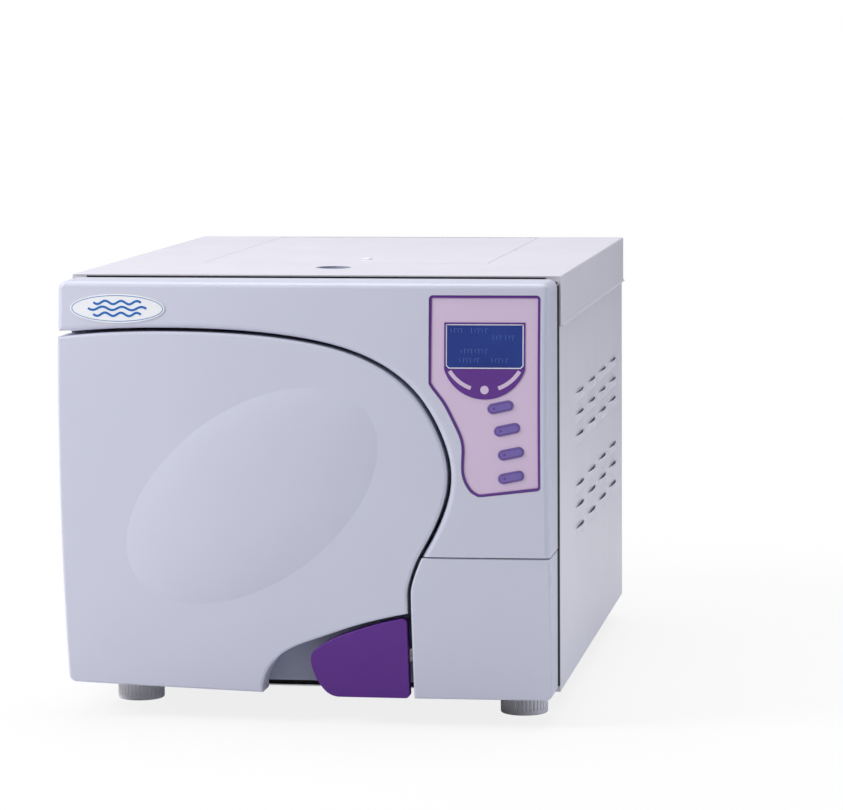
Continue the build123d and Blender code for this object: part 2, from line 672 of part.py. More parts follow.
def make_hinge_brackets():
    """Two forked brackets on the front frame that carry the door's pin."""
    brackets = []
    for height in HINGE_HEIGHTS:
        foot = block((-192, -172), (-4.6, -2.05), (height - 24, height + 24))
        bracket = foot
        for low, high in ((height - 12, height - 4), (height + 4, height + 12)):
            eye = rod_z(8, HINGE_X, HINGE_Y, (low, high))
            path = Polyline((HINGE_X + 2, HINGE_Y - 7.5), (HINGE_X + 8, HINGE_Y + 2),
                            (-172, -4), (-190, -4), (HINGE_X - 4, HINGE_Y + 6.5), close=True)
            web = extrude(Pos(0, 0, low) * make_face(path), high - low)
            bracket = bracket + web + eye
        bracket -= rod_z(HINGE_PIN_RADIUS + RUNNING_GAP, HINGE_X, HINGE_Y, (height - 20, height + 20))
        brackets.append(bracket)
    return Compound(brackets)


def make_hinge_pins():
    """Steel pin in each bracket, with a head above."""
    pins = []
    for height in HINGE_HEIGHTS:
        pin = rod_z(HINGE_PIN_RADIUS, HINGE_X, HINGE_Y, (height - 14, height + 12.1))
        pins.append(pin + rod_z(6, HINGE_X, HINGE_Y, (height + 12.1, height + 14.5)))
    return Compound(pins)


def make_latch_keeper():
    """Steel block on the front frame that the latch tongue pulls against."""
    keeper = block((94, 103), (-34, -2.05), (27, 49))
    return keeper - block((92, 98), (-31, -20), (30.5, 45.5))


def make_lock_solenoid():
    """Coil that drives the safety pin into the edge of the closed door."""
    coil = block((116, 152), (LOCK_Y - 11, LOCK_Y + 11), (LOCK_Z - 11, LOCK_Z + 11))
    coil = soften(coil, coil.edges().filter_by(Axis.X), 3)
    stay = block((120, 124), (LOCK_Y + 11, -2.05), (LOCK_Z + 3, LOCK_Z + 11))
    return coil + stay - rod_x(LOCK_PIN_RADIUS + RUNNING_GAP, (100, 160), LOCK_Y, LOCK_Z)


def make_lock_pin():
    """Spring-loaded steel pin of the door lock."""
    return rod_x(LOCK_PIN_RADIUS, (103.5, 150), LOCK_Y, LOCK_Z) + rod_x(
        6, (109, 111), LOCK_Y, LOCK_Z)


# ---------------------------------------------------------------- pressure chamber


def make_chamber():
    """Stainless pressure vessel with a thick front flange and a dished back."""
    y_end = FLANGE_DEPTH + CHAMBER_LENGTH
    outer = CHAMBER_RADIUS + CHAMBER_WALL
    flange = rod_y(FLANGE_RADIUS, CHAMBER_X, (0, FLANGE_DEPTH), CHAMBER_Z)
    flange = soften(flange, flange.edges().filter_by(GeomType.CIRCLE), 2, 1)
    tube = rod_y(outer, CHAMBER_X, (FLANGE_DEPTH, y_end - 20), CHAMBER_Z)
    back = rod_y(outer, CHAMBER_X, (y_end - 40, y_end + 3), CHAMBER_Z)
    back = soften(back, back.edges().group_by(Axis.Y)[-1], 24, 18)
    space = rod_y(CHAMBER_RADIUS, CHAMBER_X, (-1, y_end), CHAMBER_Z)
    space = soften(space, space.edges().group_by(Axis.Y)[-1], 21, 15)
    port_y = y_end - 60
    ports = rod_z(5, CHAMBER_X, port_y, (CHAMBER_Z - outer - 8, CHAMBER_Z - CHAMBER_RADIUS - 0.5))
    port_hole = rod_z(2.5, CHAMBER_X, port_y, (CHAMBER_Z - outer - 9, CHAMBER_Z - 100))
    return flange + tube + back + ports - space - port_hole


def make_band_heater():
    """Silicone heating mat clamped round the chamber, open at the bottom."""
    outer = CHAMBER_RADIUS + CHAMBER_WALL
    mat = ring_y(outer + 4, outer + 0.1, CHAMBER_X, (70, 400), CHAMBER_Z)
    return mat - block((CHAMBER_X - 14, CHAMBER_X + 14), (60, 420), (0, CHAMBER_Z - 60))


def make_insulation_jacket():
    """Glass-fibre felt wrapped round the chamber and its back."""
    outer = CHAMBER_RADIUS + CHAMBER_WALL
    jacket = rod_y(outer + 24, CHAMBER_X, (18, 488), CHAMBER_Z)
    jacket = soften(jacket, jacket.edges().group_by(Axis.Y)[-1], 15)
    jacket -= rod_y(outer + 4.1, CHAMBER_X, (17, 468), CHAMBER_Z)
    return jacket - rod_z(6, CHAMBER_X, FLANGE_DEPTH + CHAMBER_LENGTH - 60, (0, CHAMBER_Z))


def make_tray_rack():
    """Bent wire rack that stands on the chamber floor and holds the trays."""
    wire = 2.0
    half = TRAY_WIDTH / 2 + 4
    rack = None
    for y in (RACK_Y[0] + 8, sum(RACK_Y) / 2, RACK_Y[1] - 8):
        for side in (-1, 1):
            x = CHAMBER_X + side * half
            post = rod_z(wire, x, y, (CHAMBER_Z - 74, CHAMBER_Z + 70))
            rack = post if rack is None else rack + post
        for z in (CHAMBER_Z - 74, CHAMBER_Z + 70):
            rack += rod_x(wire, (CHAMBER_X - half, CHAMBER_X + half), y, z)
    for height in TRAY_HEIGHTS:
        for side in (-1, 1):
            x = CHAMBER_X + side * (half - 3.8)
            rail = rod_y(wire, x, RACK_Y, CHAMBER_Z + height - 4)
            rack += rail
            for y in (RACK_Y[0] + 8, sum(RACK_Y) / 2, RACK_Y[1] - 8):
                rack += rod_x(wire, sorted((x, CHAMBER_X + side * half)), y, CHAMBER_Z + height - 4)
    return rack


def make_trays():
    """Three perforated aluminium instrument trays."""
    trays = []
    for height in TRAY_HEIGHTS:
        z = CHAMBER_Z + height - 1.9
        half = TRAY_WIDTH / 2 - 0.5
        tray = block((CHAMBER_X - half, CHAMBER_X + half), (26, 410), (z, z + 16))
        tray = soften(tray, tray.edges().filter_by(Axis.Z), 8)
        well = block((CHAMBER_X - half + 1, CHAMBER_X + half - 1), (27, 409), (z + 1, z + 20))
        tray -= soften(well, well.edges().filter_by(Axis.Z), 7)
        places = [(CHAMBER_X + 28 * i, 60 + 35 * j) for i in range(-2, 3) for j in range(10)]
        holes = [rod_z(3, x, y, (z - 1, z + 3)) for x, y in places]
        trays.append(tray - holes)
    return Compound(trays)


# ---------------------------------------------------------------- water, steam and vacuum


def shell_tank(x, y, z, wall, corner):
    """Closed moulded tank with rounded upright edges."""
    tank = block(x, y, z)
    tank = soften(tank, tank.edges().filter_by(Axis.Z), corner)
    space = block((x[0] + wall, x[1] - wall), (y[0] + wall, y[1] - wall), (z[0] + wall, z[1] - wall))
    return tank - soften(space, space.edges().filter_by(Axis.Z), corner - wall)


def make_fresh_water_tank():
    """Flat open tank under the lid, filled through the hatch."""
    x, y, z = (-128, 128), (166, 530), (334, 366)
    tank = shell_tank(x, y, z, 2.5, 10)
    return tank - block((x[0] + 20, x[1] - 20), (y[0] + 20, y[1] - 20), (z[1] - 5, z[1] + 5))


def make_used_water_tank():
    """Closed tank for condensed water, low at the back right."""
    x, y, z = (116, 214), (390, 545), (6, 150)
    tank = shell_tank(x, y, z, 2.5, 8)
    cap = rod_z(17, 165, 430, (z[1], z[1] + 10))
    return tank + soften(cap, cap.edges().group_by(Axis.Z)[-1], 2)


def make_steam_generator():
    """Stainless boiler with bolted lid and heater terminals."""
    x, y = 168.0, 340.0
    body = rod_z(36, x, y, (10, 120))
    body = soften(body, body.edges().filter_by(GeomType.CIRCLE), 5)
    flange = rod_z(42, x, y, (112, 120))
    shape = body + flange
    for i in range(6):
        angle = math.radians(60 * i)
        shape += rod_z(2.5, x + 38 * math.cos(angle), y + 38 * math.sin(angle), (119, 125))
    for side in (-1, 1):
        shape += rod_z(4, x + 14 * side, y, (119, 140))
    return shape


def make_vacuum_pump():
    """Diaphragm vacuum pump: motor, crankcase and finned head on rubber-footed rails."""
    motor = rod_y(36, 164, (172, 282), 62)
    motor = soften(motor, motor.edges().filter_by(GeomType.CIRCLE), 4)
    case = block((132, 196), (120, 172), (26, 98))
    case = soften(case, case.edges().filter_by(Axis.Y), 8)
    head = block((136, 192), (124, 168), (98, 122))
    fins = [block((134, 194), (y, y + 2), (104, 124)) for y in range(126, 168, 8)]
    rails = [block((x - 5, x + 5), (125, 275), (SHEET + 0.1, 28)) for x in (146, 182)]
    return motor + case + head + fins + rails


def make_condenser():
    """Finned copper coil that cools the exhaust steam."""
    x, z = FAN_PLACE
    frame = block((x - 46, x + 46), (484, 508), (z - 50, z + 50)) - block(
        (x - 44, x + 44), (480, 512), (z - 48, z + 48))
    fins = [block((x - 44, x + 44), (486, 506), (z - 47 + 5 * i, z - 46.2 + 5 * i)) for i in range(19)]
    tubes = [rod_z(4, x - 33 + 22 * i, 496, (z - 48.5, z + 48.5)) for i in range(4)]
    return frame + fins + tubes


def make_fan_housing():
    """Square plastic fan frame behind the grille."""
    x, z = FAN_PLACE
    frame = block((x - 46, x + 46), (532, DEPTH - 4.2), (z - 46, z + 46))
    frame = soften(frame, frame.edges().filter_by(Axis.Y), 5)
    frame -= rod_y(43, x, (530, DEPTH), z)
    frame += rod_y(14, x, (550, DEPTH - 2.6), z)
    for angle in (0, 60, 120):
        spoke = Pos(x, 554.5, z) * Rot(0, angle, 0) * Box(90, 3.5, 5)
        frame += spoke & rod_y(44, x, (540, DEPTH - 2.6), z)
    return frame - rod_y(2, x, (545, 556), z)


def make_fan_rotor():
    """Seven swept blades on a hub."""
    x, z = FAN_PLACE
    rotor = rod_y(15, x, (535, 549), z)
    rotor = soften(rotor, rotor.edges().group_by(Axis.Y)[0], 3)
    for i in range(7):
        blade = Pos(x, 542, z) * Rot(0, 360 / 7 * i, 0) * Pos(26, 0, 0) * Rot(35, 0, 0) * Box(28, 1.6, 17)
        rotor += blade & rod_y(40.5, x, (534, 549.5), z)
    return rotor + rod_y(2 - RUNNING_GAP, x, (549, 555), z)


def make_safety_valve():
    """Spring safety valve on the chamber's back, with a knurled cap outside the panel."""
    x, z = CHAMBER_X, CHAMBER_Z + 30
    y_start = FLANGE_DEPTH + CHAMBER_LENGTH + 25
    body = rod_y(9, x, (y_start, y_start + 30), z)
    spindle = rod_y(5, x, (y_start + 30, y_start + 40), z)
    hexagon = Pos(x, y_start + 8, z) * Rot(90, 0, 0) * extrude(RegularPolygon(12, 6), 4, both=True)
    return body + spindle + hexagon


def pipe(points, radius):
    """Round pipe along straight runs with bent corners."""
    path = FilletPolyline(*points, radius=10)
    start = Plane(path @ 0, z_dir=path % 0)
    return sweep(start * Circle(radius), path=path)


def make_pipes():
    """Copper pipes between boiler, chamber, condenser and pumps."""
    port_y = FLANGE_DEPTH + CHAMBER_LENGTH - 60
    runs = [
        [(CHAMBER_X, port_y, 46), (CHAMBER_X, port_y, 16), (100, port_y, 16),
         (100, 340, 16), (131, 340, 16)],
        [(168, 340, 125.6), (168, 340, 170), (168, 470, 170), (168, 470, 225)],
        [(134, -13.5, 38), (134, 90, 38), (108, 90, 38), (108, 389, 38)],
    ]
    return Compound([pipe(run, 3) for run in runs])


def make_drain_fitting():
    """Hose fitting of the condenser drain on the back."""
    x, z = DRAIN_FITTING
    stem = rod_y(7, x, (DEPTH - 12, DEPTH + 4), z)
    barb = rod_y(4.5, x, (DEPTH + 4, DEPTH + REAR_REACH), z)
    rings = [rod_y(5.4, x, (DEPTH + 6 + 4 * i, DEPTH + 7.5 + 4 * i), z) for i in range(2)]
    nut = Pos(x, DEPTH + 1.4, z) * Rot(90, 0, 0) * extrude(RegularPolygon(11, 6), 2.5, both=True)
    return stem + barb + rings + nut - rod_y(3, x, (DEPTH - 20, DEPTH + 20), z)


# ---------------------------------------------------------------- electrics and service bay


def make_control_board():
    """Circuit board behind the control panel, with a push switch under each key."""
    board = block((138.2, 204), (-63, -61.4), (190, 350))
    for x, z in KEY_PLACES.values():
        y = bow_y(x, z) + 7.6
        board += block((x - 4, x + 4), (y, -63), (z - 3, z + 3))
    for x, z in ((142, 345), (192, 345), (142, 255), (197, 232)):
        board += rod_y(3, x, (-61.4, -56), z)
    return board


def make_power_inlet():
    """Three-pin mains inlet in the back."""
    x, z = INLET
    body = block((x - 13.5, x + 13.5), (DEPTH - 26, DEPTH), (z - 9.7, z + 9.7))
    flange = block((x - 25, x + 25), (DEPTH - 1.25, DEPTH + 2.5), (z - 12, z + 12))
    flange = soften(flange, flange.edges().filter_by(Axis.Y), 5)
    inlet = body + flange - block((x - 11, x + 11), (DEPTH - 14, DEPTH + 5), (z - 7, z + 7))
    return inlet + [block((x + dx - 1, x + dx + 1), (DEPTH - 16, DEPTH - 2), (z + dz - 2.5, z + dz + 2.5))
                    for dx, dz in ((-6, -1.5), (0, 1.5), (6, -1.5))]


def make_fuse_holders():
    """Two screw-cap fuse holders."""
    holders = []
    for x, z in FUSES:
        cap = rod_y(8.5, x, (DEPTH - 1.25, DEPTH + 8), z)
        cap = soften(cap, cap.edges().group_by(Axis.Y)[-1], 1.5)
        cap -= block((x - 5, x + 5), (DEPTH + 6.5, DEPTH + 9), (z - 0.8, z + 0.8))
        holders.append(cap + rod_y(6.2, x, (DEPTH - 32, DEPTH - 1), z))
    return Compound(holders)


def make_service_panel():
    """Grey inner panel of the service bay, seen when the flap is open."""
    panel = block((111, 211), (BAY_FRONT, BAY_FRONT + 3), (15, 106))
    rim = block((111, 211), (BAY_FRONT + 3, -2.1), (15, 106)) - block((114, 208), (-30, 0), (18, 103))
    bay_x, bay_z = [(low - 0.3, high + 0.3) for low, high in (PRINTER_X, PRINTER_Z)]
    panel = panel + rim - block(bay_x, (-30, -20), bay_z)
    for x, z, radius in SERVICE_PORTS:
        panel -= rod_y(radius + 0.1, x, (-30, -20), z)
    x, z = SWITCH
    socket = block((x - 8, x + 8), (-28, -12), (z - 12, z + 12))
    panel += socket - block((x - 5, x + 5), (-29, -10), (z - 10, z + 10))
    panel -= block((x - 5, x + 5), (-29, -22), (z - 10, z + 10))
    return panel + rod_x(1.2, (x - 5.5, x + 5.5), -22, z)


def make_printer():
    """Small thermal printer with a paper slot and feed roller."""
    left, right = PRINTER_X
    low, high = PRINTER_Z
    face = block(PRINTER_X, (-32, -22), PRINTER_Z)
    body = face + block((left + 2, right - 2), (-22, -3), (low + 2, high - 2))
    body = soften(body, front_edges(body, -31.9), 2)
    return body - block((left + 5, right - 5), (-33, -20), (high - 12, high - 9))


def make_drain_ports():
    """Two quick couplings that drain the fresh and the used water."""
    ports = []
    for x, z, radius in SERVICE_PORTS[:2]:
        port = rod_y(radius, x, (-34, -14), z) + rod_y(radius + 2, x, (-29, BAY_FRONT - 0.1), z)
        port -= rod_y(4, x, (-36, -20), z)
        ports.append(port + rod_y(2, x, (-33, -18), z))
    return Compound(ports)


def make_bacteria_filter():
    """Round air filter screwed into the service bay."""
    x, z, radius = SERVICE_PORTS[2]
    cap = rod_y(radius + 3, x, (-40, BAY_FRONT - 0.1), z)
    cap = soften(cap, cap.edges().group_by(Axis.Y)[0], 3)
    for i in range(12):
        angle = math.radians(30 * i)
        groove_x = x + (radius + 3.4) * math.cos(angle)
        groove_z = z + (radius + 3.4) * math.sin(angle)
        cap -= rod_y(1.4, groove_x, (-41, -25), groove_z)
    return cap + rod_y(radius, x, (-26.2, -8), z)


def make_rocker():
    """Rocker of the mains switch."""
    x, z = SWITCH
    side = Polyline((-30.5, z - 8.2), (-27.2, z), (-30.5, z + 8.2), (-24, z + 8.2), (-19.5, z + 3),
                    (-19.5, z - 3), (-24, z - 8.2), close=True)
    rocker = extrude(Plane.YZ.offset(x - 4.7) * make_face(side), 9.4)
    return rocker - rod_x(1.2 + RUNNING_GAP, (x - 6, x + 6), -22, z)


MAKERS = {
    "door_cover": make_door_cover,
    "door_liner": make_door_liner,
    "door_beam": make_door_beam,
    "pressure_lid": make_pressure_lid,
    "door_gasket": make_door_gasket,
    "lid_adjuster": make_lid_adjuster,
    "handle": make_handle,
    "handle_pin": make_handle_pin,
    "latch_hook": make_latch_hook,
    "service_flap": make_service_flap,
    "front_bezel": make_front_bezel,
    "control_panel": make_control_panel,
    "panel_trim": make_panel_trim,
    "display_surround": make_display_surround,
    "lcd_module": make_lcd_module,
    "badge": make_badge,
    "top_cover": make_top_cover,
    "finger_cup": make_finger_cup,
    "tank_hatch": make_tank_hatch,
    "base_pan": make_base_pan,
    "rear_feet": make_rear_feet,
    "rear_panel": make_rear_panel,
    "casing_screws": make_casing_screws,
    "front_frame": make_front_frame,
    "hinge_brackets": make_hinge_brackets,
    "hinge_pins": make_hinge_pins,
    "latch_keeper": make_latch_keeper,
    "lock_solenoid": make_lock_solenoid,
    "lock_pin": make_lock_pin,
    "chamber": make_chamber,
    "band_heater": make_band_heater,
    "insulation_jacket": make_insulation_jacket,
    "tray_rack": make_tray_rack,
    "trays": make_trays,
    "fresh_water_tank": make_fresh_water_tank,
    "used_water_tank": make_used_water_tank,
    "steam_generator": make_steam_generator,
    "vacuum_pump": make_vacuum_pump,
    "condenser": make_condenser,
    "fan_housing": make_fan_housing,
    "fan_rotor": make_fan_rotor,
    "safety_valve": make_safety_valve,
    "control_board": make_control_board,
    "power_inlet": make_power_inlet,
    "service_panel": make_service_panel,
    "printer": make_printer,
    "power_rocker": make_rocker,
    "drain_ports": make_drain_ports,
    "bacteria_filter": make_bacteria_filter,
    "fuse_holders": make_fuse_holders,
    "pipes": make_pipes,
    "drain_fitting": make_drain_fitting,
}


def make_all():
    """Every part by name, in the drawing's own coordinates."""
    parts = {name: make() for name, make in MAKERS.items()}
    for name in KEY_PLACES:
        parts[name] = make_key(name)
    for side, sign in (("left", -1), ("right", 1)):
        parts["side_panel_" + side] = make_side_panel(sign)
    for side, place in zip(("left", "right"), FEET):
        parts["levelling_foot_" + side] = make_levelling_foot(*place)
    return parts


os.makedirs("parts", exist_ok=True)
for part_name, part_shape in make_all().items():
    export_step(Pos(*ORIGIN_SHIFT) * part_shape, f"parts/{part_name}.step")
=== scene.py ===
import json
import math

import bpy
from mathutils import Matrix, Vector
from mathutils.bvhtree import BVHTree


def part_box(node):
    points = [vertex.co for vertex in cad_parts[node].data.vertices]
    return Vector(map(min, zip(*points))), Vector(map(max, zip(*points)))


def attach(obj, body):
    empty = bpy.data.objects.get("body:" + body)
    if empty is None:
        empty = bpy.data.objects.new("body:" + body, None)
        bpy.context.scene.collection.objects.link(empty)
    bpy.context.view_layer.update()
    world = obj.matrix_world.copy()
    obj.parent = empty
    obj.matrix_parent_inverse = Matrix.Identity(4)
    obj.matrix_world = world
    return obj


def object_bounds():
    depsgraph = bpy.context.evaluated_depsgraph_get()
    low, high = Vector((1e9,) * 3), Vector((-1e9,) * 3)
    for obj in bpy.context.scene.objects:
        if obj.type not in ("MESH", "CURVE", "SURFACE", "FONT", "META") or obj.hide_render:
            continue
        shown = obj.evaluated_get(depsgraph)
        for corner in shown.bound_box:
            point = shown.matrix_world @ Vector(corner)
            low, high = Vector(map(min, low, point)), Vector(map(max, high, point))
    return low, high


# Looks of the benchtop autoclave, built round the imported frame. Metres, +Z up, -Y towards the front.

MM = 0.001
COAT_ROUGHNESS = 0.12

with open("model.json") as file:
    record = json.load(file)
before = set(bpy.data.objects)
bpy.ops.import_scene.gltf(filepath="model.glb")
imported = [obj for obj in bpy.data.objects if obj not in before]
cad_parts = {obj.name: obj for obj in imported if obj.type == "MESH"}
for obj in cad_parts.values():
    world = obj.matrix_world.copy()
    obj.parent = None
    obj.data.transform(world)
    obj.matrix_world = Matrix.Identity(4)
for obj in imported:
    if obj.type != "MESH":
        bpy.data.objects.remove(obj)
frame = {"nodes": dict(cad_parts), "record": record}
cad_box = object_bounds()


# ---------------------------------------------------------------- colour and material helpers


def srgb(red, green, blue):
    """Colour given as 0-255 display values, as the linear values a shader takes."""
    def linear(value):
        value /= 255
        return value / 12.92 if value <= 0.04045 else ((value + 0.055) / 1.055) ** 2.4
    return (linear(red), linear(green), linear(blue), 1.0)


def shade(colour, factor):
    """The colour made darker or lighter by a factor."""
    return tuple(min(1.0, c * factor) for c in colour[:3]) + (1.0,)


class Recipe:
    """Node tree of one material, with short calls for what the materials here share."""

    def __init__(self, name, roughness, metallic=0.0, coat=0.0, specular=0.5):
        self.material = bpy.data.materials.new(name)
        self.material.use_nodes = True
        self.tree = self.material.node_tree
        self.shader = self.tree.nodes["Principled BSDF"]
        self.shader.inputs["Roughness"].default_value = roughness
        self.shader.inputs["Metallic"].default_value = metallic
        self.shader.inputs["Coat Weight"].default_value = coat
        self.shader.inputs["Coat Roughness"].default_value = COAT_ROUGHNESS
        self.shader.inputs["Specular IOR Level"].default_value = specular
        self.place = self.node("ShaderNodeTexCoord").outputs["Object"]
        self.normal = None

    def node(self, kind, **values):
        """New node, with values for its sockets or its own settings."""
        made = self.tree.nodes.new(kind)
        for key, value in values.items():
            if key in made.inputs:
                made.inputs[key].default_value = value
            else:
                setattr(made, key, value)
        return made

    def link(self, start, end):
        self.tree.links.new(start, end)

    def stretched(self, x, y, z):
        """Coordinates stretched differently along each axis, for brushed or drawn marks."""
        mapping = self.node("ShaderNodeMapping")
        mapping.inputs["Scale"].default_value = (x, y, z)
        self.link(self.place, mapping.inputs["Vector"])
        return mapping.outputs["Vector"]

    def noise(self, scale, detail=3.0, coordinates=None):
        """Cloudy factor in object coordinates; the scale is in cells per metre."""
        made = self.node("ShaderNodeTexNoise", Scale=scale, Detail=detail)
        self.link(coordinates or self.place, made.inputs["Vector"])
        return made.outputs["Fac"]

    def ramp(self, factor, low, high, start=0.3, end=0.7):
        """Blend between two colours by a factor."""
        made = self.node("ShaderNodeValToRGB")
        made.color_ramp.elements[0].position = start
        made.color_ramp.elements[1].position = end
        made.color_ramp.elements[0].color = low
        made.color_ramp.elements[1].color = high
        self.link(factor, made.inputs["Fac"])
        return made.outputs["Color"]

    def colour(self, socket):
        """Drives the base colour."""
        self.link(socket, self.shader.inputs["Base Color"])

    def roughness(self, factor, low, high):
        """Drives the roughness between two values by a factor."""
        made = self.node("ShaderNodeMapRange")
        made.inputs["To Min"].default_value = low
        made.inputs["To Max"].default_value = high
        self.link(factor, made.inputs["Value"])
        self.link(made.outputs["Result"], self.shader.inputs["Roughness"])

    def bump(self, height, distance, strength=0.4):
        """Adds a relief on top of those given before it."""
        made = self.node("ShaderNodeBump", Strength=strength, Distance=distance)
        self.link(height, made.inputs["Height"])
        if self.normal is not None:
            self.link(self.normal, made.inputs["Normal"])
        self.normal = made.outputs["Normal"]
        self.link(self.normal, self.shader.inputs["Normal"])


def moulded_plastic(name, colour, roughness, spread=0.03, grain=1800.0, depth=0.00003, coat=0.0):
    """Spark-textured moulding: fine grain, faint flow clouds and slightly uneven gloss."""
    recipe = Recipe(name, roughness, coat=coat)
    clouds = recipe.noise(9.0, 4.0)
    recipe.colour(recipe.ramp(clouds, shade(colour, 1 - spread), shade(colour, 1 + spread)))
    recipe.roughness(recipe.noise(40.0, 3.0), roughness * 0.88, roughness * 1.12)
    recipe.bump(recipe.noise(grain, 2.0), depth, 0.35)
    return recipe.material


def powder_coat(name, colour, roughness=0.42):
    """Powder-coated steel with orange peel and a few darker specks."""
    recipe = Recipe(name, roughness, coat=0.15)
    clouds = recipe.ramp(recipe.noise(6.0, 5.0), shade(colour, 0.975), shade(colour, 1.02))
    specks = recipe.ramp(recipe.noise(900.0, 1.0), shade(colour, 0.82), (1, 1, 1, 1), 0.24, 0.3)
    mixed = recipe.node("ShaderNodeMix", data_type="RGBA", blend_type="MULTIPLY")
    mixed.inputs["Factor"].default_value = 0.5
    recipe.link(clouds, mixed.inputs["A"])
    recipe.link(specks, mixed.inputs["B"])
    recipe.colour(mixed.outputs["Result"])
    recipe.roughness(recipe.noise(30.0, 3.0), roughness * 0.85, roughness * 1.15)
    recipe.bump(recipe.noise(420.0, 2.0), 0.00006, 0.35)
    return recipe.material


def drawn_metal(name, colour, roughness, along, tarnish=0.06):
    """Metal with fine marks along one axis and faint tarnish."""
    recipe = Recipe(name, roughness, metallic=1.0)
    scale = [1400.0, 1400.0, 1400.0]
    scale["xyz".index(along)] = 25.0
    marks = recipe.noise(1.0, 3.0, recipe.stretched(*scale))
    stains = recipe.noise(14.0, 5.0)
    recipe.colour(recipe.ramp(stains, shade(colour, 1 - tarnish), shade(colour, 1 + tarnish)))
    recipe.roughness(marks, roughness * 0.7, roughness * 1.35)
    recipe.bump(marks, 0.00002, 0.3)
    return recipe.material


def cast_rubber(name, colour, roughness=0.7):
    """Rubber or silicone with a dull bloom."""
    recipe = Recipe(name, roughness, specular=0.35)
    bloom = recipe.noise(60.0, 6.0)
    recipe.colour(recipe.ramp(bloom, shade(colour, 0.85), shade(colour, 1.2)))
    recipe.roughness(bloom, roughness * 0.85, min(1.0, roughness * 1.15))
    recipe.bump(recipe.noise(1200.0, 2.0), 0.00003, 0.4)
    return recipe.material


def fibre_felt(name, colour):
    """Matted glass fibre with loose strands."""
    recipe = Recipe(name, 0.95, specular=0.1)
    strands = recipe.noise(1.0, 6.0, recipe.stretched(900.0, 220.0, 900.0))
    recipe.colour(recipe.ramp(strands, shade(colour, 0.72), shade(colour, 1.1)))
    recipe.bump(strands, 0.0006, 0.7)
    recipe.bump(recipe.noise(160.0, 4.0), 0.0008, 0.5)
    return recipe.material


def circuit_board(name):
    """Green solder mask with lighter copper tracks on a square grid."""
    recipe = Recipe(name, 0.35, coat=0.4)
    tracks = recipe.node("ShaderNodeTexBrick", Scale=220.0)
    tracks.inputs["Color1"].default_value = srgb(16, 78, 42)
    tracks.inputs["Color2"].default_value = srgb(22, 92, 50)
    tracks.inputs["Mortar"].default_value = srgb(60, 130, 74)
    tracks.inputs["Mortar Size"].default_value = 0.04
    turned = recipe.node("ShaderNodeMapping")
    turned.inputs["Rotation"].default_value = (math.pi / 2, 0, 0)
    recipe.link(recipe.place, turned.inputs["Vector"])
    recipe.link(turned.outputs["Vector"], tracks.inputs["Vector"])
    recipe.colour(tracks.outputs["Color"])
    recipe.bump(tracks.outputs["Fac"], 0.00005, 0.4)
    return recipe.material


def liquid_crystal(name):
    """Blue backlit glass in faint lighter and darker clouds, with a fine dot grid."""
    recipe = Recipe(name, 0.25, coat=0.3)
    grid = recipe.node("ShaderNodeTexVoronoi", Scale=1400.0, distance="CHEBYCHEV")
    recipe.link(recipe.place, grid.inputs["Vector"])
    glow = recipe.noise(18.0, 1.0)
    recipe.colour(recipe.ramp(glow, srgb(22, 42, 112), srgb(34, 60, 138)))
    lit = recipe.ramp(grid.outputs["Distance"], srgb(30, 56, 150), srgb(44, 74, 170))
    recipe.link(lit, recipe.shader.inputs["Emission Color"])
    recipe.shader.inputs["Emission Strength"].default_value = 0.1
    recipe.roughness(recipe.noise(50.0, 2.0), 0.18, 0.3)
    return recipe.material


BEZEL = srgb(203, 205, 222)
CASING = srgb(226, 224, 236)

SLOTS = {
    "bezel_plastic": lambda n: moulded_plastic(n, BEZEL, 0.42, 0.012),
    "inner_plastic": lambda n: moulded_plastic(n, srgb(150, 154, 174), 0.6, 0.03),
    "violet_plastic": lambda n: moulded_plastic(n, srgb(84, 18, 130), 0.5, 0.06),
    "panel_lilac": lambda n: moulded_plastic(n, srgb(214, 192, 220), 0.5, 0.02, 2600.0),
    "panel_violet": lambda n: moulded_plastic(n, srgb(96, 46, 140), 0.4, 0.04, coat=0.1),
    "key_violet": lambda n: moulded_plastic(n, srgb(114, 98, 170), 0.4, 0.05, coat=0.2),
    "lcd_blue": liquid_crystal,
    "badge_white": lambda n: moulded_plastic(n, srgb(240, 242, 246), 0.2, 0.01, 700.0, 0.00001, 0.6),
    "casing_paint": lambda n: powder_coat(n, CASING),
    "black_paint": lambda n: cast_rubber(n, srgb(14, 14, 18), 0.9),
    "zinc_steel": lambda n: drawn_metal(n, srgb(190, 192, 196), 0.38, "x", 0.12),
    "pin_steel": lambda n: drawn_metal(n, srgb(205, 206, 208), 0.24, "z"),
    "stainless": lambda n: drawn_metal(n, srgb(214, 214, 214), 0.22, "y", 0.05),
    "tray_aluminium": lambda n: drawn_metal(n, srgb(218, 220, 222), 0.34, "x", 0.05),
    "gasket_silicone": lambda n: cast_rubber(n, srgb(214, 210, 200), 0.5),
    "foot_plastic": lambda n: moulded_plastic(n, srgb(240, 238, 244), 0.55, 0.04),
    "black_rubber": lambda n: cast_rubber(n, srgb(40, 40, 42)),
    "heater_silicone": lambda n: cast_rubber(n, srgb(170, 62, 40), 0.6),
    "felt": lambda n: fibre_felt(n, srgb(222, 216, 196)),
    "tank_plastic": lambda n: moulded_plastic(n, srgb(226, 232, 232), 0.4, 0.03, 500.0),
    "black_plastic": lambda n: moulded_plastic(n, srgb(36, 36, 40), 0.45, 0.1),
    "pump_paint": lambda n: powder_coat(n, srgb(74, 78, 88), 0.5),
    "brass_fittings": lambda n: drawn_metal(n, srgb(206, 172, 104), 0.28, "z", 0.1),
    "copper_pipe": lambda n: drawn_metal(n, srgb(206, 132, 96), 0.3, "x", 0.14),
    "board_green": circuit_board,
    "filter_white": lambda n: moulded_plastic(n, srgb(238, 240, 242), 0.4, 0.02),
}

